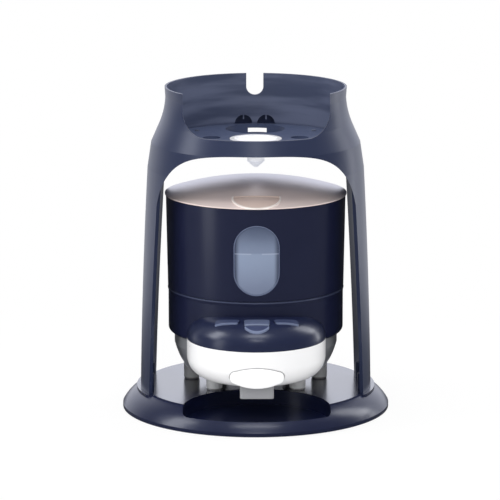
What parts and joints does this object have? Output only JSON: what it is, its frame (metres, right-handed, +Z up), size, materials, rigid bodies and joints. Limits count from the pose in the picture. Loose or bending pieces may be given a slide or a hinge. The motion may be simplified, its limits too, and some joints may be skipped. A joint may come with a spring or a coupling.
{
  "type": "baby formula maker",
  "caption": "Baby formula maker: round stand with a two-column frame, collar and funnel deck, holding a powder dispenser with hinged lid, window, keys, lever and spout.",
  "frame": {"origin": "centre of the round base's footprint, on the table", "axes": "+Z up; -Y to the front, where the spout and keys are; +X to the right as seen from the front"},
  "size_m": [0.238, 0.238, 0.289],
  "materials": {
    "base_navy_gloss": "glossy",
    "base_cover_plastic": "fine matt",
    "foot_rubber": "matt",
    "screw_steel": "zinc plated",
    "frame_navy": "satin, fine grain",
    "deck_navy": "satin",
    "funnel_white": "glossy",
    "nozzle_translucent": "milky, translucent",
    "hopper_navy_gloss": "glossy",
    "window_bezel_grey": "satin",
    "window_smoke": "clear, tinted",
    "bin_clear": "translucent, tinted",
    "bowl_smoke": "smoky, glossy",
    "leg_grey": "satin",
    "door_grey": "satin",
    "inner_white": "satin",
    "cell_jacket": "printed sleeve, glossy",
    "contact_metal": "nickel plated",
    "nose_navy_gloss": "glossy",
    "shell_white": "glossy",
    "lever_white": "glossy",
    "spout_grey": "translucent, smooth",
    "key_blue_grey": "satin",
    "board_green": "solder mask",
    "switch_black": "matt",
    "lid_champagne": "metallic champagne",
    "tab_champagne": "polished champagne",
    "seal_silicone": "matt silicone",
    "pin_steel": "ground",
    "bracket_navy": "satin",
    "plate_steel": "zinc plated sheet",
    "motor_can": "drawn can",
    "gear_acetal": "smooth",
    "agitator_white": "smooth"
  },
  "bodies": {
    "stand": {"base_plate": "base_navy_gloss", "base_cover": "base_cover_plastic", "base_feet": "foot_rubber", "base_screws": "screw_steel", "stand_frame": "frame_navy", "frame_screws": "screw_steel", "deck_plate": "deck_navy", "deck_screws": "screw_steel"},
    "nozzle": {"nozzle_funnel": "funnel_white", "nozzle_tip": "nozzle_translucent"},
    "lid": {"lid_shell": "lid_champagne", "lid_liner": "inner_white", "lid_seal": "seal_silicone", "lid_tab": "tab_champagne"},
    "rotor": {"drive_gear": "gear_acetal", "drive_shaft": "pin_steel", "dosing_wheel": "gear_acetal", "agitator": "agitator_white", "shaft_clip": "pin_steel"},
    "pinion": {"motor_pinion": "gear_acetal"},
    "outlet_lever": {"outlet_lever": "lever_white"},
    "battery_door": {"battery_door": "door_grey"},
    "key_left": {"key_left": "key_blue_grey"},
    "key_centre": {"key_centre": "key_blue_grey"},
    "key_right": {"key_right": "key_blue_grey"},
    "key_start": {"key_start": "key_blue_grey"},
    "dispenser": {"leg_pads": "foot_rubber", "plate_screws": "screw_steel", "motor_screws": "screw_steel", "nose_screws": "screw_steel", "board_screws": "screw_steel", "hopper_upper": "hopper_navy_gloss", "hopper_lower": "hopper_navy_gloss", "window_bezel": "window_bezel_grey", "window_pane": "window_smoke", "powder_bin": "bin_clear", "dispenser_bowl": "bowl_smoke", "dispenser_legs": "leg_grey", "battery_box": "inner_white", "dosing_housing": "inner_white", "outlet_chute": "inner_white", "battery_cells": "cell_jacket", "battery_contacts": "contact_metal", "nose_cap": "nose_navy_gloss", "nose_shell": "shell_white", "spout": "spout_grey", "control_board": "board_green", "key_switches": "switch_black", "shaft_seal": "seal_silicone", "lever_pin": "pin_steel", "lever_spring": "pin_steel", "hinge_pin": "pin_steel", "hinge_bracket": "bracket_navy", "mechanism_plate": "plate_steel", "gear_motor": "motor_can", "shaft_bush": "gear_acetal"}
  },
  "joints": [
    {"name": "dispenser_out", "type": "slide", "parent": "stand", "child": "dispenser", "axis": [0, -1, 0], "range_m": [0, 0.26]},
    {"name": "funnel_lift", "type": "slide", "parent": "stand", "child": "nozzle", "axis": [0, 0, 1], "range_m": [0, 0.06]},
    {"name": "lid_hinge", "type": "hinge", "parent": "dispenser", "child": "lid", "pos_m": [0, 0.0846, 0.1918], "axis": [-1, 0, 0], "range_deg": [0, 5]},
    {"name": "rotor_spin", "type": "hinge", "parent": "dispenser", "child": "rotor", "pos_m": [0, 0, 0.09], "axis": [0, 0, 1], "continuous": true},
    {"name": "pinion_spin", "type": "hinge", "parent": "dispenser", "child": "pinion", "pos_m": [0, 0.0231, 0.09], "axis": [0, 0, 1], "continuous": true},
    {"name": "battery_door_out", "type": "slide", "parent": "dispenser", "child": "battery_door", "axis": [0, 0, -1], "range_m": [0, 0.008]},
    {"name": "outlet_lever_press", "type": "hinge", "parent": "dispenser", "child": "outlet_lever", "pos_m": [0, -0.1015, 0.0566], "axis": [1, 0, 0], "range_deg": [0, 8], "stiffness_Nm_per_rad": 0.2, "springref_deg": -2.86},
    {"name": "key_left_press", "type": "slide", "parent": "dispenser", "child": "key_left", "axis": [0, 0, -1], "range_m": [0, 0.0008], "stiffness_N_per_m": 600, "springref_m": -0.0003},
    {"name": "key_centre_press", "type": "slide", "parent": "dispenser", "child": "key_centre", "axis": [0, 0, -1], "range_m": [0, 0.0008], "stiffness_N_per_m": 600, "springref_m": -0.0003},
    {"name": "key_right_press", "type": "slide", "parent": "dispenser", "child": "key_right", "axis": [0, 0, -1], "range_m": [0, 0.0008], "stiffness_N_per_m": 600, "springref_m": -0.0003},
    {"name": "key_start_press", "type": "slide", "parent": "dispenser", "child": "key_start", "axis": [0, 0, -1], "range_m": [0, 0.0008], "stiffness_N_per_m": 600, "springref_m": -0.0003}
  ],
  "couplings": [
    {"joint": "pinion_spin", "follows": "rotor_spin", "ratio": -2.8333}
  ]
}
